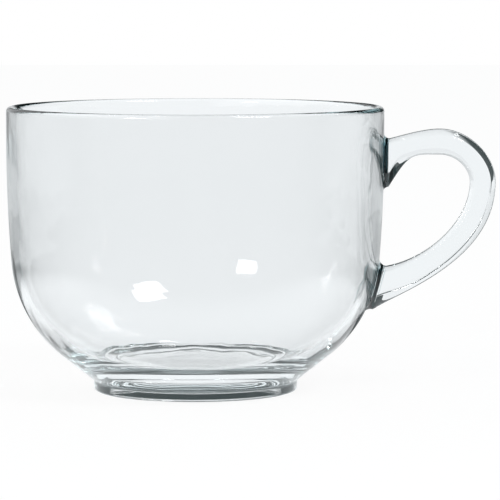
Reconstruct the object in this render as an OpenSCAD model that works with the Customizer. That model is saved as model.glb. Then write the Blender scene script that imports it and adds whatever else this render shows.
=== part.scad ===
// Clear glass soup mug: a pressed bowl on a low foot ring, with a pressed ear handle fused to it at two seats.
// Millimetres, +Z up. The origin is the centre of the ring that the mug stands on; the handle points along +X.

/* [Bowl] */
// Outer diameter at the rim
rim_d = 112; // [100:1:124]
// Overall height from the table to the rim
bowl_h = 84.5; // [80:0.5:100]
// Wall thickness at the rim
wall_t = 2.6; // [2:0.1:4]
// Radius on both edges of the fire-polished rim
rim_edge_r = 1.2; // [0.4:0.1:1.6]
// Height of the straight band below the rim
rim_band = 11.4; // [6:0.2:16]
// Lean of the side where it meets the heel, in degrees
side_lean = 4.4; // [2:0.2:5]
// Radius of the heel, where the side turns under
heel_r = 39.5; // [34:0.5:42]
// Slope of the underside from the vertical, in degrees
under_slope = 51.5; // [46:0.5:58]

/* [Cavity] */
// Height of the cavity's floor above the table
floor_z = 6.6; // [6:0.2:12]
// Radius between the cavity's wall and its floor
cavity_heel_r = 35; // [26:0.5:38]
// Lean of the cavity's wall, which thickens the glass downwards, in degrees
cavity_draft = 1.6; // [0.6:0.1:2.4]

/* [Foot] */
// Diameter of the foot where the underside meets it
foot_d = 60.8; // [54:0.4:68]
// Height of that meeting line
foot_h = 3.2; // [2.4:0.1:5]
// Step in from the meeting line to the table, on the radius
foot_taper = 0.2; // [0.1:0.1:1.2]
// Radius of the foot's lower edge
foot_edge_r = 1; // [0.5:0.1:2]
// Radius of the hollow above the foot
foot_neck_r = 1.2; // [0.5:0.1:2]
// Width of the ring from the foot's outside to the recess in the base
ring_w = 4.7; // [3.5:0.1:8]
// Height of that recess
punt_h = 2.6; // [1:0.1:3.5]
// Lean of the recess's wall, in degrees
punt_draft = 2; // [1:0.5:6]
// Radius of the recess's edges
punt_edge_r = 0.5; // [0.2:0.1:0.8]

/* [Handle] */
// How far the handle reaches out past the rim
handle_reach = 33.2; // [26:0.2:45]
// Drop from the rim to the handle's crown, as a share of the bowl's height
crown_drop = 0.079; // [0.04:0.001:0.14]
// Distance of the crown from the rim's side
crown_reach = 16.5; // [12:0.5:20]
// Drop from the rim to the handle's widest point, as a share of the bowl's height
side_drop = 0.266; // [0.22:0.001:0.32]
// Width of the bar, seen from the side
bar_w = 7.7; // [6:0.1:10]
// Depth of the bar, across the handle
bar_d = 9.4; // [7:0.1:14]
// Swell of the bar's outer side, from its flat faces to its middle
outer_swell = 1.8; // [0.6:0.1:2.6]
// Swell of the bar's inner side
inner_swell = 0.9; // [0.4:0.1:2.6]

/* [Seats] */
// Drop from the rim to the middle of the upper seat, as a share of the bowl's height
upper_seat_drop = 0.198; // [0.17:0.001:0.23]
// Drop from the upper seat to the lower one, as a share of the bowl's height
seat_spacing = 0.437; // [0.38:0.001:0.48]
// Length of the handle's upper foot, along the wall
upper_foot_l = 14.4; // [11:0.1:18]
// Length of the handle's lower foot, along the wall
lower_foot_l = 13.5; // [11:0.1:18]
// Swell of a foot's heel, its lower side, which turns into a keel
heel_swell = 4.4; // [2:0.1:5]
// Swell of a foot's upper side
toe_swell = 1.2; // [0.4:0.1:2.6]
// Thickness of the fused glass between wall and foot, and width of its fillet
weld_t = 1.5; // [0.8:0.1:2.5]

/* [Hidden] */
$fn = 256;

rim_r = rim_d / 2;
foot_r = foot_d / 2;
glass = [0.86, 0.91, 0.93, 0.45];
weld_glass = [0.62, 0.72, 0.74, 0.6];

// The outer wall, from the foot up: a straight underside, the heel, the bowed side and a straight band below the rim.
// The bow takes the height that the foot, underside, heel and band leave.
band_z = bowl_h - rim_band;
heel_turn = heel_r * [cos(side_lean) - cos(under_slope), sin(under_slope) - sin(side_lean)];
bow_rise = band_z - foot_h - heel_turn[1] - (rim_r - foot_r - heel_turn[0]) / tan(under_slope);
side_bow_r = bow_rise / (sin(side_lean) - (1 - cos(side_lean)) / tan(under_slope));
bow_in = side_bow_r * (1 - cos(side_lean));
under_l = (rim_r - foot_r - heel_turn[0] - bow_in) / sin(under_slope);
heel_low = [foot_r, foot_h] + under_l * [sin(under_slope), cos(under_slope)];
heel_high = heel_low + heel_turn;
heel_tangent = heel_r * tan((under_slope - side_lean) / 2);
heel_corner = heel_low + heel_tangent * [sin(under_slope), cos(under_slope)];
bow_corner = [rim_r, band_z - side_bow_r * tan(side_lean / 2)];

// Lean and radius of the outer wall at a height above the underside
function wall_lean(z) =
    z > band_z ? 0 :
    z > heel_high[1] ? asin((band_z - z) / side_bow_r) :
    z > heel_low[1] ? asin(sin(side_lean) + (heel_high[1] - z) / heel_r) :
    under_slope;
function wall_r(z) =
    z > heel_high[1] ? rim_r - side_bow_r * (1 - cos(wall_lean(z))) :
    z > heel_low[1] ? heel_high[0] - heel_r * (cos(side_lean) - cos(wall_lean(z))) :
    heel_low[0] - (heel_low[1] - z) * tan(under_slope);

// The cavity's corners, before its heel is rounded
cavity_top = [rim_r - wall_t, bowl_h];
cavity_corner = [cavity_top[0] - (bowl_h - floor_z) * tan(cavity_draft), floor_z];

// The seats: heights on the wall, and the middles of the flat joints where the handle's feet meet the fused glass
upper_seat_z = bowl_h * (1 - upper_seat_drop);
lower_seat_z = upper_seat_z - bowl_h * seat_spacing;
function out_of_wall(z) = [cos(wall_lean(z)), -sin(wall_lean(z))];
function up_the_wall(z) = [sin(wall_lean(z)), cos(wall_lean(z))];
function joint(z) = [wall_r(z), z] + weld_t * out_of_wall(z);

// Small helpers for outlines and curves
function unit(v) = v / norm(v);
function heading(a) = [cos(a), sin(a)];
function smooth(t) = t * t * (3 - 2 * t);
function blend(from, to, share) = from + (to - from) * share;
function cubic(p, t) =
    pow(1 - t, 3) * p[0] + 3 * t * pow(1 - t, 2) * p[1] + 3 * t * t * (1 - t) * p[2] + pow(t, 3) * p[3];

// Points along an arc, close enough that no chord leaves it by more than chord_error
chord_error = 0.01;
function arc(centre, r, from, turn) =
    let (n = ceil(abs(turn) / (2 * acos(1 - chord_error / r))))
    [for (k = [0:n]) centre + r * heading(from + turn * k / n)];

// The arc that rounds a corner of an outline
function fillet(before, corner, after, r) =
    let (u = unit(before - corner), v = unit(after - corner), half = acos(u * v) / 2)
    let (centre = corner + unit(u + v) * r / sin(half), start = corner + u * r / tan(half) - centre)
    arc(centre, r, atan2(start[1], start[0]), (180 - 2 * half) * sign(v[0] * u[1] - v[1] * u[0]));

// A solid through a row of rings that all have the same number of points
module loft(rings) {
    n = len(rings[0]);
    last = len(rings) - 1;
    first_cap = [for (k = [0:n - 1]) k];
    last_cap = [for (k = [n - 1:-1:0]) last * n + k];
    sides = [for (j = [0:last - 1], k = [0:n - 1])
        let (a = j * n + k, b = j * n + (k + 1) % n)
        each [[a, a + n, b], [b, a + n, b + n]]];
    polyhedron([for (ring = rings) each ring], concat([first_cap, last_cap], sides));
}

// Half section of the recess under the base, from its middle out to the ring
foot_base = [foot_r - foot_taper, 0];
recess_edge = foot_base - [ring_w, 0];
recess_corner = recess_edge + punt_h * [-tan(punt_draft), 1];
recess_line = concat(
    [[0, punt_h]],
    fillet([0, punt_h], recess_corner, recess_edge, punt_edge_r),
    fillet(recess_corner, recess_edge, foot_base, punt_edge_r));

// Half section of the bowl's outside, from the ring up to the rim
foot_meet = [foot_r, foot_h];
rim_corner = [rim_r, bowl_h];
rim_round_share = 0.48;
rim_round = min(rim_edge_r, rim_round_share * wall_t);
outer_line = concat(
    fillet(recess_edge, foot_base, foot_meet, foot_edge_r),
    fillet(foot_base, foot_meet, heel_corner, foot_neck_r),
    fillet(foot_meet, heel_corner, bow_corner, heel_r),
    fillet(heel_corner, bow_corner, rim_corner, side_bow_r),
    fillet(bow_corner, rim_corner, cavity_top, rim_round));

// Half section of the inside, from the rim down to the floor's middle
inner_line = concat(
    fillet(rim_corner, cavity_top, cavity_corner, rim_round),
    fillet(cavity_top, cavity_corner, [0, floor_z], cavity_heel_r),
    [[0, floor_z]]);

module bowl() {
    color(glass) rotate_extrude() polygon(concat(recess_line, outer_line, inner_line));
}

// The handle: two edge curves, each of three smooth stretches over the crown and down the side, joined by sections
crown = [rim_r + crown_reach, bowl_h * (1 - crown_drop)];
side = [rim_r + handle_reach, bowl_h * (1 - side_drop)];
upper_mid = joint(upper_seat_z);
lower_mid = joint(lower_seat_z);
upper_half = upper_foot_l / 2 * up_the_wall(upper_seat_z);
lower_half = lower_foot_l / 2 * up_the_wall(lower_seat_z);

// Fullness of the turn from the crown to the side, as shares of its run and its drop
turn_full = [0.55, 0.46];
// Outer edge: headings at its ends in degrees, then its arms at the feet, crown and side as shares of their spans
outer_ends = [12, 34];
outer_arms = [0.2, 0.35, 0.62, 0.27];
// Inner edge, in the same order
inner_ends = [58, 9];
inner_arms = [0.79, 0.57, 0.48, 0.49];

function edge_curves(from, to, top, far, ends, arms) =
    let (run = top[0] - from[0], drop = far[1] - to[1], back = far[0] - to[0])
    [
        [from, from + arms[0] * run * heading(ends[0]), top - [arms[1] * run, 0], top],
        [top, top + [turn_full[0] * (far[0] - top[0]), 0], far + [0, turn_full[1] * (top[1] - far[1])], far],
        [far, far - [0, arms[2] * drop], to + arms[3] * back * heading(ends[1]), to]
    ];
outer_edge = edge_curves(upper_mid + upper_half, lower_mid - lower_half, crown, side, outer_ends, outer_arms);
inner_edge = edge_curves(upper_mid - upper_half, lower_mid + lower_half,
    crown - [0, bar_w], side - [bar_w, 0], inner_ends, inner_arms);

// Sections along each stretch, steps down each side of a section, and the share of the end stretches that a foot takes
stretch_steps = [14, 14, 20];
side_steps = 12;
foot_share = [0.55, 0.35];
// How the sides swell: the power of the distance from the middle, for a round side and for a keel
round_power = 2;
keel_power = 1.25;

// How far a section has turned from the bar's shape into a foot's, by stretch and place on it
function foot_blend(s, t) =
    s == 0 ? smooth(max(0, 1 - t / foot_share[0])) :
    s == 2 ? smooth(max(0, 1 - (1 - t) / foot_share[1])) : 0;

// Swell and power of the outer and the inner side. The heel is the inner side at the upper foot, the outer at the lower.
function section_sides(s, foot) =
    let (heel = [heel_swell, keel_power], toe = [toe_swell, round_power])
    [
        blend([outer_swell, round_power], s == 2 ? heel : toe, foot),
        blend([inner_swell, round_power], s == 2 ? toe : heel, foot)
    ];

// One closed section between the two edges: two flat faces, and two sides that swell out between them
function section(s, t) =
    let (o = cubic(outer_edge[s], t), i = cubic(inner_edge[s], t), mid = (o + i) / 2, across = unit(o - i))
    let (sides = section_sides(s, foot_blend(s, t)))
    [
        for (e = [0, 1], k = [0:side_steps])
            let (way = 1 - 2 * e, d = way * (2 * k / side_steps - 1))
            let (w = way * (norm(o - i) / 2 - sides[e][0] * pow(abs(d), sides[e][1])))
            [mid[0] + w * across[0], d * bar_d / 2, mid[1] + w * across[1]]
    ];

module handle() {
    color(glass) loft([
        for (s = [0:2], k = [0:stretch_steps[s] - 1]) section(s, k / stretch_steps[s]),
        section(2, 1)
    ]);
}

// A seat's fused glass: a collar from the foot's section down to the wall, with a hollow fillet that ends in a thin edge.
// It is carried into the wall, and the wall is cut away.
weld_steps = 5;
weld_edge = 0.15;
drop_steps = 12;
weld_root = 2 * weld_t + pow(max(upper_foot_l, lower_foot_l) / 2 + weld_t, 2) / heel_r;

// Distance of a point from the wall, straight into it, closed in on by repeated steps
function wall_drop(p, out, drop, steps) =
    let (q = p - drop * out)
    steps == 0 ? drop : wall_drop(p, out, drop + norm([q[0], q[1]]) - wall_r(q[2]), steps - 1);

// Ways out of a ring at its points, square to the way out of the wall
function ring_ways(ring, out) =
    let (n = len(ring))
    [for (k = [0:n - 1])
        let (on = unit(ring[(k + 1) % n] - ring[k]) + unit(ring[k] - ring[(k + n - 1) % n]))
        unit(cross(on, out))];

module weld(foot, seat_z) {
    out = [out_of_wall(seat_z)[0], 0, out_of_wall(seat_z)[1]];
    ways = ring_ways(foot, out);
    fillet_rings = [for (k = [0:weld_steps])
        let (a = 90 * k / weld_steps)
        [for (j = [0:len(foot) - 1])
            let (p = foot[j] + weld_t * (1 - cos(a)) * ways[j])
            p - sin(a) * (wall_drop(p, out, weld_t, drop_steps) - weld_edge) * out]];
    root_ring = [for (j = [0:len(foot) - 1]) foot[j] + weld_t * ways[j] - weld_root * out];
    color(weld_glass) difference() {
        loft(concat(fillet_rings, [root_ring]));
        rotate_extrude() polygon(concat([[0, 0]], outer_line, [[0, bowl_h]]));
    }
}

module upper_weld() {
    foot = section(0, 0);
    weld([for (k = [len(foot) - 1:-1:0]) foot[k]], upper_seat_z);
}
module lower_weld() { weld(section(2, 1), lower_seat_z); }

bowl();
upper_weld();
lower_weld();
handle();
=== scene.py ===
import math

import bmesh
import bpy
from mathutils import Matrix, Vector


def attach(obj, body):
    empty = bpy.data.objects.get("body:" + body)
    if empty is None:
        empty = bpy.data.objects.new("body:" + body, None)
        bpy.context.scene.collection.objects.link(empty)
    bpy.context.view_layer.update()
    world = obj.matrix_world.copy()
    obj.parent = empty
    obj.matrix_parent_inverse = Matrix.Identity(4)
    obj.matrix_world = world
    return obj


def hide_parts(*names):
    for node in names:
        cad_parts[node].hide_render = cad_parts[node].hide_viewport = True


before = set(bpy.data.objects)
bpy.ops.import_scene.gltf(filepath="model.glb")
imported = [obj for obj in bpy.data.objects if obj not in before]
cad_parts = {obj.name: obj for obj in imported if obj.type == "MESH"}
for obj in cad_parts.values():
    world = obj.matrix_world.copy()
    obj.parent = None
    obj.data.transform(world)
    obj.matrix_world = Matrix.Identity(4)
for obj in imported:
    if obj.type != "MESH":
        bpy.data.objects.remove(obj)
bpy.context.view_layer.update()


# The bowl
# One pressing of clear soda-lime glass, with its foot ring and the shallow recess under the base. A plunger
# forms the smooth inside, the mould forms the outside, and a flame rounds the rim. Sizes are in millimetres.
MM = 0.001
rim_r = 56.0
bowl_h = 84.5
wall_t = 2.6
rim_edge_r = 1.28
rim_band = 11.4  # straight band below the rim
side_lean = math.radians(4.4)  # lean of the bowed side where it meets the heel
heel_r = 39.5
under_slope = math.radians(51.5)  # lean of the straight underside between heel and foot
floor_z = 6.6  # inside of the base
cavity_heel_r = 35.0
cavity_draft = math.radians(1.6)
foot_r = 30.4
foot_h = 3.2
foot_taper = 0.2
foot_edge_r = 1.0
foot_neck_r = 1.2
punt_r = 25.5  # the recess under the base
punt_h = 2.6
punt_draft = 0.1
punt_edge_r = 0.5


def start_outline(name, x, z):
    """A new mesh of one vertex in the XZ plane, left in edit mode. Sizes are in millimetres."""
    bpy.ops.object.select_all(action="DESELECT")
    bpy.ops.mesh.primitive_plane_add(size=MM)
    bpy.context.object.name = name
    bpy.ops.object.mode_set(mode="EDIT")
    bpy.ops.mesh.merge(type="CENTER")
    bpy.ops.transform.translate(value=(x * MM, 0, z * MM))
    return Vector((x, z))


def draw_line(pen, end, step=1.5):
    """Extrudes the outline straight on in short steps, and returns where it ends."""
    count = max(1, round((end - pen).length / step))
    move = (end - pen) * MM / count
    for _ in range(count):
        bpy.ops.mesh.extrude_region_move(TRANSFORM_OT_translate={"value": (move.x, 0, move.y)})
    return end


def draw_arc(pen, centre, turn, turn_step=0.05, longest=1.2):
    """Spins the outline's end about a centre in the XZ plane, anticlockwise for a positive turn."""
    arm = pen - centre
    count = max(3, math.ceil(abs(turn) / turn_step), math.ceil(abs(turn) * arm.length / longest))
    bpy.ops.mesh.spin(steps=count, angle=turn, center=(centre.x * MM, 0, centre.y * MM), axis=(0, 1, 0))
    cos, sin = math.cos(turn), math.sin(turn)
    return centre + Vector((arm.x * cos - arm.y * sin, arm.x * sin + arm.y * cos))


def draw_corners(pen, corners, end):
    """Draws on from the pen past each corner (x, z, radius), rounded, to the end."""
    points = [pen] + [Vector((x, z)) for x, z, _ in corners] + [end]
    for k, (_, _, radius) in enumerate(corners):
        before, at, after = points[k:k + 3]
        u, v = (before - at).normalized(), (after - at).normalized()
        half = u.angle(v) / 2
        centre = at + (u + v).normalized() * radius / math.sin(half)
        way = 1 if v.x * u.y - v.y * u.x > 0 else -1
        pen = draw_line(pen, at + u * radius / math.tan(half))
        pen = draw_arc(pen, centre, way * (math.pi - 2 * half))
    return draw_line(pen, end)


def turn_outline(steps):
    """Turns the outline about the Z axis into a closed solid of revolution, smooth all over."""
    bpy.ops.mesh.select_all(action="SELECT")
    bpy.ops.mesh.spin(steps=steps, angle=2 * math.pi, center=(0, 0, 0), axis=(0, 0, 1))
    bpy.ops.mesh.select_all(action="SELECT")
    bpy.ops.mesh.remove_doubles(threshold=0.002 * MM)
    bpy.ops.mesh.normals_make_consistent(inside=False)
    bpy.ops.object.mode_set(mode="OBJECT")
    bpy.ops.object.shade_smooth()
    return bpy.context.object


# The outer wall's shape, from the foot up: straight underside, heel, bowed side, straight band below the rim
band_z = bowl_h - rim_band
heel_out = heel_r * (math.cos(side_lean) - math.cos(under_slope))
heel_rise = heel_r * (math.sin(under_slope) - math.sin(side_lean))
bow_rise = band_z - foot_h - heel_rise - (rim_r - foot_r - heel_out) / math.tan(under_slope)
side_bow_r = bow_rise / (math.sin(side_lean) - (1 - math.cos(side_lean)) / math.tan(under_slope))
under_l = (rim_r - foot_r - heel_out - side_bow_r * (1 - math.cos(side_lean))) / math.sin(under_slope)
under_way = Vector((math.sin(under_slope), math.cos(under_slope)))
heel_low = Vector((foot_r, foot_h)) + under_l * under_way
heel_high = heel_low + Vector((heel_out, heel_rise))
heel_corner = heel_low + heel_r * math.tan((under_slope - side_lean) / 2) * under_way
bow_corner = Vector((rim_r, band_z - side_bow_r * math.tan(side_lean / 2)))
cavity_corner_r = rim_r - wall_t - (bowl_h - floor_z) * math.tan(cavity_draft)

base_middle = start_outline("bowl_glass", 0, punt_h)
draw_corners(base_middle, [
    (punt_r - punt_draft, punt_h, punt_edge_r),
    (punt_r, 0, punt_edge_r),
    (foot_r - foot_taper, 0, foot_edge_r),
    (foot_r, foot_h, foot_neck_r),
    (heel_corner.x, heel_corner.y, heel_r),
    (bow_corner.x, bow_corner.y, side_bow_r),
    (rim_r, bowl_h, rim_edge_r),
    (rim_r - wall_t, bowl_h, rim_edge_r),
    (cavity_corner_r, floor_z, cavity_heel_r),
], Vector((0, floor_z)))
bowl = turn_outline(steps=256)


def colour(code):
    """An sRGB hex value as linear RGBA."""
    parts = [int(code[k:k + 2], 16) / 255 for k in (1, 3, 5)]
    return [p / 12.92 if p <= 0.04045 else ((p + 0.055) / 1.055) ** 2.4 for p in parts] + [1]


def add_node(tree, kind, inputs=(), **settings):
    """Adds a node, sets its properties, and fills each input with a value or with another node's output."""
    node = tree.nodes.new(kind)
    for name, value in settings.items():
        setattr(node, name, value)
    for name, value in dict(inputs).items():
        if isinstance(value, bpy.types.NodeSocket):
            tree.links.new(value, node.inputs[name])
        else:
            node.inputs[name].default_value = value
    return node


# Soda-lime glass takes its surface from an iron mould and is then polished by a flame. That leaves it clear
# and glossy but not quite even: long, low ripples bend the lines that are seen in it and through it. A trace
# of iron takes some red out of long ways through the glass, so thick edges look blue-green.
def soda_lime_glass(name, ripple=0.0, height=0.0, ior=1.52):
    """Clear soda-lime glass with ripples of a length and a height in millimetres."""
    material = bpy.data.materials.new(name)
    material.use_nodes = True
    tree = material.node_tree
    tree.nodes.clear()
    surface = add_node(tree, "ShaderNodeBsdfPrincipled", {
        "Base Color": colour("#FFFFFF"), "Roughness": 0.0, "IOR": ior, "Transmission Weight": 1.0})
    if ripple:
        place = add_node(tree, "ShaderNodeTexCoord").outputs["Object"]
        waves = add_node(tree, "ShaderNodeTexNoise", {
            "Vector": place, "Scale": 1 / (ripple * MM), "Detail": 1.5, "Roughness": 0.4})
        relief = add_node(tree, "ShaderNodeBump", {
            "Height": waves.outputs["Fac"], "Strength": 1.0, "Distance": height * MM})
        tree.links.new(relief.outputs[0], surface.inputs["Normal"])
    iron = add_node(tree, "ShaderNodeVolumeAbsorption", {"Color": colour("#7CBCC4"), "Density": 4.0})
    add_node(tree, "ShaderNodeOutputMaterial", {"Surface": surface.outputs[0], "Volume": iron.outputs[0]})
    return material


# The mould leaves long ripples on the bowl's wall
bowl.data.materials.clear()
bowl.data.materials.append(soda_lime_glass("soda-lime glass, pressed", ripple=12.0, height=0.12))
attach(bowl, "root")
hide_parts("bowl")


# The handle
# A separate pressing of the same glass: a bar with two flat faces and two crowned sides, bent like an ear,
# that widens into a foot at each end. It is pressed on the bowl while both are hot.
handle_reach = 33.2  # outermost point past the rim
crown_reach = 16.5  # highest point past the rim
crown_drop = 0.079  # highest point below the rim, as a share of the bowl's height
side_drop = 0.266  # outermost point below the rim, as such a share
bar_w = 7.7  # from inner to outer side
bar_d = 9.4  # between the flat faces
outer_crown = 1.8  # swell of the outer side
inner_crown = 0.9  # swell of the inner side
crown_power = 2
crease_r = 0.5  # rounding between flat faces and sides
crease_share = 0.9  # most of a side's last step that the rounding may take
upper_seat_drop = 0.198  # upper seat below the rim, as a share of the bowl's height
seat_spacing = 0.437  # from seat to seat, as such a share
upper_foot_l = 14.4
lower_foot_l = 13.5
weld_t = 1.5  # from the wall to a foot's joint
sunk = 0.3  # how far fused pieces reach into each other
heel_share = 0.55, 0.35  # shares of the first and the last stretch that turn into a foot
heel_keel = 4.4  # swell of a foot's lower side, its keel
keel_power = 1.25
toe_crown = 1.2  # swell of a foot's upper side
sections = 36, 36, 52  # on each stretch
last_stretch = len(sections) - 1

# Each edge's heading at its two feet in degrees, and its curve handles as shares of a stretch's size
outer_ends, outer_arms = (12, 34), (0.2, 0.35, 0.62, 0.27)
inner_ends, inner_arms = (58, 9), (0.79, 0.57, 0.48, 0.49)
turn_full = 0.55, 0.46  # curve handles of the bend from crown to side, as shares of its width and height


def wall_at(z):
    """Radius and lean of the bowl's outside at a height above its underside."""
    if z > band_z:
        return rim_r, 0.0
    if z > heel_high.y:
        lean = math.asin((band_z - z) / side_bow_r)
        return rim_r - side_bow_r * (1 - math.cos(lean)), lean
    lean = math.asin(math.sin(side_lean) + (heel_high.y - z) / heel_r)
    return heel_high.x - heel_r * (math.cos(side_lean) - math.cos(lean)), lean


def seat(z):
    """Middle of a flat joint, the way out of the wall there and the way up it, in the XZ plane."""
    r, lean = wall_at(z)
    out = Vector((math.cos(lean), -math.sin(lean)))
    return Vector((r, z)) + weld_t * out, out, Vector((math.sin(lean), math.cos(lean)))


def heading(degrees):
    """A way in the XZ plane, by its rise from the level."""
    return Vector((math.cos(math.radians(degrees)), math.sin(math.radians(degrees))))


def edge_curves(start, end, top, far, ends, arms):
    """The three cubic stretches of one edge: foot to crown, crown to side, side to foot."""
    run, drop, back = top.x - start.x, far.y - end.y, far.x - end.x
    past_top = Vector((turn_full[0] * (far.x - top.x), 0))
    above_far = Vector((0, turn_full[1] * (top.y - far.y)))
    return [
        (start, start + arms[0] * run * heading(ends[0]), top - Vector((arms[1] * run, 0)), top),
        (top, top + past_top, far + above_far, far),
        (far, far - Vector((0, arms[2] * drop)), end + arms[3] * back * heading(ends[1]), end),
    ]


def on_cubic(p, t):
    """The point at a share of a cubic stretch."""
    return (1 - t) ** 3 * p[0] + 3 * t * (1 - t) ** 2 * p[1] + 3 * t * t * (1 - t) * p[2] + t ** 3 * p[3]


upper_z = bowl_h * (1 - upper_seat_drop)
lower_z = upper_z - bowl_h * seat_spacing
upper_mid, upper_out, upper_up = seat(upper_z)
lower_mid, lower_out, lower_up = seat(lower_z)
crown = Vector((rim_r + crown_reach, bowl_h * (1 - crown_drop)))
side = Vector((rim_r + handle_reach, bowl_h * (1 - side_drop)))
outer_edge = edge_curves(upper_mid + upper_foot_l / 2 * upper_up, lower_mid - lower_foot_l / 2 * lower_up,
                         crown, side, outer_ends, outer_arms)
inner_edge = edge_curves(upper_mid - upper_foot_l / 2 * upper_up, lower_mid + lower_foot_l / 2 * lower_up,
                         crown - Vector((0, bar_w)), side - Vector((bar_w, 0)), inner_ends, inner_arms)


def smooth(t):
    """An even change from 0 to 1 that starts and ends level."""
    t = min(1, max(0, t))
    return t * t * (3 - 2 * t)


def crowned_side(half_w, half_d, swell, power, rows=12):
    """Points (w, d) down one side of a bar's section: it swells from each flat face to the middle."""
    points = []
    for k in range(2 * rows + 1):
        d = 1 - k / rows
        points.append(Vector((half_w - swell * abs(d) ** power, half_d * d)))
    return points


def crowned_bar(half_w, half_d, outer, inner):
    """Points (w, d) round a bar with two flat faces and two crowned sides, each given as (swell, power)."""
    right = crowned_side(half_w, half_d, *outer)[::-1]
    left = [Vector((-p.x, p.y)) for p in crowned_side(half_w, half_d, *inner)]
    loop = []
    for this, that in ((right, left), (left, right)):
        end, begin = this[-1], that[0]
        loop += this[1:-1]
        for corner, before, after in ((end, this[-2], begin), (begin, end, that[1])):
            u, v = (before - corner).normalized(), (after - corner).normalized()
            room = min((before - corner).length, (after - corner).length / 2)
            reach = min(crease_r / math.tan(u.angle(v) / 2), crease_share * room)
            a, b = corner + reach * u, corner + reach * v
            loop += [a.lerp(corner, t).lerp(corner.lerp(b, t), t) for t in (0, 0.33, 0.67, 1)]
            if corner == end:
                loop += [end.lerp(begin, share) for share in (0.3, 0.5, 0.7)]
    return loop


def handle_section(stretch, t):
    """One section of the handle. Towards a foot its lower side, the heel, turns into a keel."""
    foot, heel_is_outer = 0.0, stretch == last_stretch
    if stretch == 0:
        foot = smooth(1 - t / heel_share[0])
    if stretch == last_stretch:
        foot = smooth(1 - (1 - t) / heel_share[1])
    heel_swell, toe_swell = (outer_crown, inner_crown) if heel_is_outer else (inner_crown, outer_crown)
    heel_power = crown_power + (keel_power - crown_power) * foot
    heel = (heel_swell + (heel_keel - heel_swell) * foot, heel_power)
    toe = (toe_swell + (toe_crown - toe_swell) * foot, crown_power)
    outer, inner = on_cubic(outer_edge[stretch], t), on_cubic(inner_edge[stretch], t)
    mid, across = (outer + inner) / 2, (outer - inner).normalized()
    sides = (heel, toe) if heel_is_outer else (toe, heel)
    loop = crowned_bar((outer - inner).length / 2, bar_d / 2, *sides)
    return [Vector((mid.x + p.x * across.x, p.y, mid.y + p.x * across.y)) for p in loop]


def loft(name, rings, crease=math.radians(40)):
    """A closed solid: a face is extruded from ring to ring, and each ring is set on its points."""
    bpy.ops.object.select_all(action="DESELECT")
    bpy.ops.mesh.primitive_circle_add(vertices=len(rings[0]), fill_type="NGON")
    piece = bpy.context.object
    piece.name = name
    bpy.ops.object.mode_set(mode="EDIT")
    mesh = bmesh.from_edit_mesh(piece.data)
    mesh.verts.ensure_lookup_table()
    corners = list(range(len(rings[0])))
    for k, ring in enumerate(rings):
        if k:
            bpy.ops.mesh.extrude_region_move()
            mesh = bmesh.from_edit_mesh(piece.data)
            mesh.verts.ensure_lookup_table()
            old = set(corners)
            for n, index in enumerate(corners):
                ends = [e.other_vert(mesh.verts[index]) for e in mesh.verts[index].link_edges]
                corners[n] = next(v.index for v in ends if v.select and v.index not in old)
        for index, point in zip(corners, ring):
            mesh.verts[index].co = point * MM
        bmesh.update_edit_mesh(piece.data)
    bpy.ops.mesh.select_all(action="SELECT")
    bpy.ops.mesh.normals_make_consistent(inside=False)
    bpy.ops.object.mode_set(mode="OBJECT")
    bpy.ops.object.shade_smooth_by_angle(angle=crease)
    return piece


handle_rings = []
for stretch, count in enumerate(sections):
    handle_rings += [handle_section(stretch, k / count) for k in range(count)]
handle_rings.append(handle_section(last_stretch, 1))
upper_joint, lower_joint = handle_rings[0], handle_rings[-1]
upper_in = Vector((-upper_out.x, 0, -upper_out.y))
lower_in = Vector((-lower_out.x, 0, -lower_out.y))
handle_rings.insert(0, [p + sunk * upper_in for p in upper_joint])
handle_rings.append([p + sunk * lower_in for p in lower_joint])
handle = loft("handle_glass", handle_rings)

# The flame has smoothed the handle all round, so its ripples are lower than the bowl's
handle.data.materials.clear()
handle.data.materials.append(soda_lime_glass("soda-lime glass, fire-polished", ripple=12.0, height=0.03))

# Where two pieces are fused there is glass on both sides, so light goes straight on
fused_glass = soda_lime_glass("soda-lime glass, fused inside", ior=1.0)


def fuse(piece, hidden):
    """Takes the surface off the faces that lie inside a weld, because fused glass has none there."""
    piece.data.materials.append(fused_glass)
    bpy.ops.object.select_all(action="DESELECT")
    bpy.context.view_layer.objects.active = piece
    piece.select_set(True)
    bpy.ops.object.mode_set(mode="EDIT")
    bpy.ops.mesh.select_mode(type="FACE")
    bpy.ops.mesh.select_all(action="DESELECT")
    mesh = bmesh.from_edit_mesh(piece.data)
    for face in mesh.faces:
        face.select_set(hidden(face))
    bmesh.update_edit_mesh(piece.data)
    piece.active_material_index = len(piece.data.materials) - 1
    bpy.ops.object.material_slot_assign()
    bpy.ops.object.mode_set(mode="OBJECT")


def in_weld(face):
    """True for a face of the handle on the wall's side of its joint."""
    at = face.calc_center_median() / MM
    mid, out = (upper_mid, upper_out) if at.z > side.y - bar_w else (lower_mid, lower_out)
    return (Vector((at.x, at.z)) - mid).dot(out) < -sunk / 4


fuse(handle, in_weld)
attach(handle, "root")
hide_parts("handle")


# The welds
# Glass that melted and flowed where each foot of the hot handle was pressed on the wall. It stands round the
# foot as a collar with a hollow fillet.
weld_lip = 0.04  # how far a collar stands proud of the foot at the joint
fillet_steps = 8
wall_shares = 1.0, 0.75, 0.5, 0.25  # rings under a collar, from its edge to its middle
facing_handle = 0.9  # least X of the normal of a wall face that can lie under a collar


def wall_drop(point, out, deepest=12.0, halvings=40):
    """How far along the way into the wall a point in millimetres is from the bowl's outside."""
    outside, beneath = 0.0, deepest
    for _ in range(halvings):
        middle = (outside + beneath) / 2
        at = point - middle * out
        if math.hypot(at.x, at.y) > wall_at(at.z)[0]:
            outside = middle
        else:
            beneath = middle
    return outside


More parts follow.
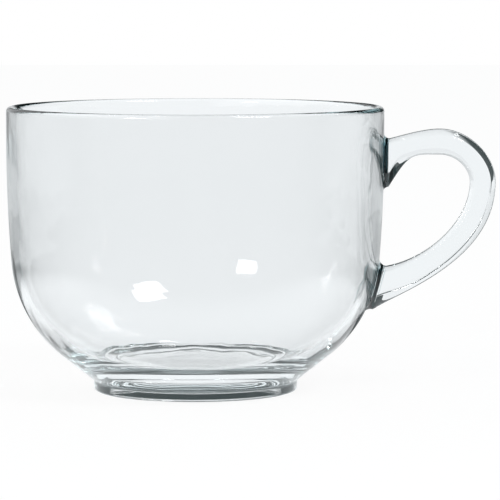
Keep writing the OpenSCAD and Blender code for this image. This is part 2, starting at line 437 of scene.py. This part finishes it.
def weld(name, node, joint, seat_out):
    """A collar from a foot's section at the joint down to the wall and a little into it. Returns its edge."""
    up = Vector((-seat_out.y, 0, seat_out.x))
    out = Vector((seat_out.x, 0, seat_out.y))
    mid = sum(joint, Vector()) / len(joint)
    ways = []
    for k, point in enumerate(joint):
        along = joint[(k + 1) % len(joint)] - joint[k - 1]
        way = along.cross(out).normalized()
        ways.append(way if way.dot(point - mid) > 0 else -way)
    rings = []
    for k in range(fillet_steps + 1):
        turn = math.pi / 2 * k / fillet_steps
        ring = []
        for point, way in zip(joint, ways):
            spread = point + (weld_lip + weld_t * (1 - math.cos(turn))) * way
            ring.append(spread - wall_drop(spread, out) * math.sin(turn) * out)
        rings.append(ring)
    edge = rings[-1]
    for share in wall_shares:
        ring = []
        for point in edge:
            above = mid + (point - mid) * share + 2 * weld_t * out
            ring.append(above - (wall_drop(above, out) + sunk) * out)
        rings.append(ring)
    piece = loft(name, rings)

    # Remelted glass flows in short waves, which break up the light at the seats
    piece.data.materials.clear()
    piece.data.materials.append(soda_lime_glass("soda-lime glass, remelted", ripple=5.0, height=0.05))

    def in_neighbour(face):
        """True for a face inside the bowl's wall, and for the end faces, which have many corners."""
        at = face.calc_center_median() / MM
        return len(face.verts) > 4 or math.hypot(at.x, at.y) < wall_at(at.z)[0] - sunk / 4

    fuse(piece, in_neighbour)
    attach(piece, "root")
    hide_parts(node)
    return [Vector((p.y, (p - mid).dot(up))) for p in edge]


def in_loop(loop, point):
    """True for a point inside a closed loop."""
    odd = False
    for p, q in zip(loop, loop[1:] + loop[:1]):
        if (p.y > point.y) != (q.y > point.y) and point.x < p.x + (point.y - p.y) * (q.x - p.x) / (q.y - p.y):
            odd = not odd
    return odd


upper_edge = weld("upper_weld_glass", "upper_weld", upper_joint, upper_out)
lower_edge = weld("lower_weld_glass", "lower_weld", lower_joint, lower_out)


def under_weld(face):
    """True for a face of the bowl's outside that lies wholly under a weld."""
    if face.normal.x < facing_handle or face.calc_center_median().x < 0:
        return False
    corners = [v.co / MM for v in face.verts]
    for edge, mid, up in ((upper_edge, upper_mid, upper_up), (lower_edge, lower_mid, lower_up)):
        if all(in_loop(edge, Vector((c.y, (Vector((c.x, c.z)) - mid).dot(up)))) for c in corners):
            return True
    return False


fuse(bowl, under_weld)


# The floor
# A sheet of white paper under the mug that runs on to the backdrop, and keeps the mug's shadow. Clear glass
# is drawn by what stands round it, so the sheet has its own level for each kind of ray out of the glass.
sheet_size = 6.0
paper_level = 0.94
never, one_wall, two_walls = 0.5, 2.5, 4.5  # limits for how often a ray has met a face of the glass
bpy.ops.object.select_all(action="DESELECT")
bpy.ops.mesh.primitive_plane_add(size=sheet_size, location=(0, 0, 0))
floor = bpy.context.object
floor.name = "floor"
white_paper = bpy.data.materials.new("white paper sweep")
white_paper.use_nodes = True
sheet_tree = white_paper.node_tree
sheet_tree.nodes.clear()


def soft_edges(tree, level, *edges):
    """A level times soft edges. Each has a value, its range and the levels on both sides."""
    for value, (start, end), (before, after) in edges:
        edge = add_node(tree, "ShaderNodeMapRange", {
            "Value": value, "From Min": start, "From Max": end, "To Min": before, "To Max": after},
            interpolation_type="SMOOTHSTEP")
        product = add_node(tree, "ShaderNodeMath", {0: level, 1: edge.outputs[0]}, operation="MULTIPLY")
        level = product.outputs[0]
    return level


def white_seen(tree, at_once, thin, both, thick, mirrored):
    """The white that the eye meets at once. Other rays see a level between a dark tone and white paper, by
    their way: through one thickness of glass, through both walls of the bowl, through more, or mirrored."""
    path = add_node(tree, "ShaderNodeLightPath")
    faces, mirrors = path.outputs["Transmission Depth"], path.outputs["Glossy Depth"]
    ways = ((faces, one_wall, both), (faces, two_walls, thick), (mirrors, never, mirrored))
    level = thin
    for count, limit, deeper in ways:
        passed = add_node(tree, "ShaderNodeMath", {0: count, 1: limit}, operation="GREATER_THAN")
        choice = add_node(tree, "ShaderNodeMix", {"Factor": passed.outputs[0], "A": level, "B": deeper})
        level = choice.outputs[0]
    # A Mix node that is set to colours has them at sockets 6 and 7, and its result at 2
    black, pale = colour("#16292A"), colour("#FAFDFF")
    tone = add_node(tree, "ShaderNodeMix", {0: level, 6: black, 7: pale}, data_type="RGBA")
    eye = path.outputs["Is Camera Ray"]
    seen = add_node(tree, "ShaderNodeMix", {0: eye, 6: tone.outputs[2], 7: colour(at_once)}, data_type="RGBA")
    return seen.outputs[2]


# Places on the sheet in metres: from the mug's axis, towards the back, and across three slanting edges
place = add_node(sheet_tree, "ShaderNodeTexCoord").outputs["Object"]
from_axis = add_node(sheet_tree, "ShaderNodeVectorMath", {0: place}, operation="LENGTH").outputs["Value"]
to_back = add_node(sheet_tree, "ShaderNodeSeparateXYZ", {"Vector": place}).outputs["Y"]
slants = []
for slant in ((1.0, 0.29, 0), (1.0, 0.5, 0), (0.3, 1.0, 0)):
    slanting = add_node(sheet_tree, "ShaderNodeVectorMath", {0: place, 1: slant}, operation="DOT_PRODUCT")
    slants.append(slanting.outputs["Value"])
shadow_right_edge, shadow_left_edge, rear_shade_edge = slants
path = add_node(sheet_tree, "ShaderNodeLightPath")
run, faces = path.outputs["Ray Length"], path.outputs["Transmission Depth"]

# The sheet is in shade under the foot, which shows at a slant but not on the short way straight down
straight_down = 0.0045
foot_shade = soft_edges(sheet_tree, paper_level, (from_axis, (0.026, 0.034), (0.0, 1.0)))
steep = add_node(sheet_tree, "ShaderNodeMath", {0: run, 1: straight_down}, operation="LESS_THAN")
under_foot = add_node(sheet_tree, "ShaderNodeMix", {
    "Factor": steep.outputs[0], "A": foot_shade, "B": paper_level})

# A painted shadow on the sheet behind the mug darkens the handle's feet, whose rays run farther than those
# from the back wall
from_handle = add_node(sheet_tree, "ShaderNodeMath", {0: run, 1: to_back}, operation="GREATER_THAN")
painted_shadow_behind = soft_edges(
    sheet_tree, from_handle.outputs[0],
    (shadow_right_edge, (0.07, 0.095), (1.0, 0.0)),
    (shadow_left_edge, (-0.03, 0.0), (0.0, 1.0)),
    (to_back, (0.04, 0.06), (0.0, 1.0)))
through_thin = add_node(sheet_tree, "ShaderNodeMix", {
    "Factor": painted_shadow_behind, "A": under_foot.outputs[0], "B": 0.0})

# Mirrored in the glass, the sheet is dark in front of the mug and pale behind it, but for a painted dark
# rear shade that shows in outer faces alone
rear_shade = soft_edges(sheet_tree, 1.0, (rear_shade_edge, (0.07, 0.09), (1.0, 0.05)))
inner_face = add_node(sheet_tree, "ShaderNodeMath", {0: faces, 1: never}, operation="GREATER_THAN")
rear = add_node(sheet_tree, "ShaderNodeMath", {0: inner_face.outputs[0], 1: rear_shade}, operation="MAXIMUM")
near = soft_edges(sheet_tree, rear.outputs[0], (to_back, (-0.12, -0.03), (0.04, 1.0)))
beyond = soft_edges(sheet_tree, 1.0, (to_back, (-0.1, 0.6), (0.04, 0.62)))
away = soft_edges(sheet_tree, 1.0, (from_axis, (0.12, 0.25), (0.0, 1.0)))
sheen = add_node(sheet_tree, "ShaderNodeMix", {"Factor": away, "A": near, "B": beyond})

# The sheet's own light leaves room for the lamps' light, so the mug's shadow shows on white
white = white_seen(sheet_tree, "#F5F5F5", through_thin.outputs[0], 1.0, 1.0, sheen.outputs[0])
own_light = add_node(sheet_tree, "ShaderNodeEmission", {"Color": white, "Strength": 1.0})
paper = add_node(sheet_tree, "ShaderNodeBsdfDiffuse", {"Color": colour("#595959")})
lit_paper = add_node(sheet_tree, "ShaderNodeAddShader", {0: paper.outputs[0], 1: own_light.outputs[0]})
add_node(sheet_tree, "ShaderNodeOutputMaterial", {"Surface": lit_paper.outputs[0]})
floor.data.materials.append(white_paper)


# The light
# A white backdrop that rises a little above the horizon, in a room that is darker above it and in front, and
# two softboxes at the left and the right, which give the highlights.
room = bpy.data.worlds.new("studio")
bpy.context.scene.world = room
room.use_nodes = True
room_tree = room.node_tree
room_tree.nodes.clear()
ray_way = add_node(room_tree, "ShaderNodeTexCoord").outputs["Generated"]
axes = add_node(room_tree, "ShaderNodeSeparateXYZ", {"Vector": ray_way})
across, away_back, upward = axes.outputs["X"], axes.outputs["Y"], axes.outputs["Z"]
aside = add_node(room_tree, "ShaderNodeMath", {0: across}, operation="ABSOLUTE").outputs[0]

# One thickness of glass shows the room pale up to a dark ceiling, and more glass only the backdrop's foot
below_ceiling = soft_edges(room_tree, 1.0, (upward, (0.72, 0.9), (paper_level, 0.1)))
backdrop_foot = soft_edges(room_tree, 1.0, (upward, (0.02, 0.14), (1.0, 0.04)))
backdrop_low = soft_edges(room_tree, 1.0, (upward, (0.08, 0.24), (1.0, 0.05)))

# Mirrored in the glass, the backdrop is a low strip at the back, and outer faces see a pale wall at the left
strip = soft_edges(
    room_tree, 1.0,
    (upward, (0.06, 0.2), (0.85, 0.04)),
    (away_back, (0.3, 0.6), (0.03, 1.0)),
    (aside, (0.12, 0.28), (1.0, 0.05)))
room_faces = add_node(room_tree, "ShaderNodeLightPath").outputs["Transmission Depth"]
outer_face = add_node(room_tree, "ShaderNodeMath", {0: room_faces, 1: never}, operation="LESS_THAN")
left_wall = soft_edges(room_tree, outer_face.outputs[0], (across, (-0.35, -0.1), (1.0, 0.0)))
mirrored_room = add_node(room_tree, "ShaderNodeMix", {"Factor": left_wall, "A": strip, "B": 1.0})
room_white = white_seen(
    room_tree, "#FFFFFF", below_ceiling, backdrop_foot, backdrop_low, mirrored_room.outputs[0])
sky = add_node(room_tree, "ShaderNodeBackground", {"Color": room_white, "Strength": 1.0})
add_node(room_tree, "ShaderNodeOutputWorld", {"Surface": sky.outputs[0]})

# Each softbox with its place and its width and height in metres, and its power in watts
softboxes = (
    ("right softbox", (0.75, -0.75, 1.25), (0.45, 0.4), 6.0),
    ("left softbox", (-0.8, -1.1, 0.5), (0.3, 0.3), 3.5),
)
for name, stand, size, power in softboxes:
    lamp = bpy.data.lights.new(name, "AREA")
    lamp.shape = "RECTANGLE"
    lamp.size, lamp.size_y = size
    lamp.energy = power
    softbox = bpy.data.objects.new(name, lamp)
    softbox.location = stand
    softbox.rotation_euler = (-Vector(stand)).to_track_quat("-Z", "Y").to_euler()
    softbox.visible_camera = False
    bpy.context.scene.collection.objects.link(softbox)

# Light crosses many faces before it leaves the glass
glass_bounces = 32
cycles = bpy.context.scene.cycles
cycles.max_bounces = glass_bounces
cycles.transmission_bounces = glass_bounces
cycles.glossy_bounces = glass_bounces


# The camera
# It stands about a metre in front, a little to the handle's side and above the rim, and looks slightly down.
camera_place = Vector((16.2, -969.4, 127.97))
look_down = 0.0888  # radians
sensor_w = 36.0
picture_pixels = 500
focal_pixels = 3269.97
camera = bpy.data.objects.new("camera", bpy.data.cameras.new("camera"))
bpy.context.scene.collection.objects.link(camera)
camera.location = camera_place * MM
camera.rotation_euler = (math.pi / 2 - look_down, 0, 0)
camera.data.sensor_width = sensor_w
camera.data.lens = sensor_w * focal_pixels / picture_pixels
camera.data.clip_start = 0.01
bpy.context.scene.camera = camera
bpy.context.scene.view_settings.view_transform = "Standard"
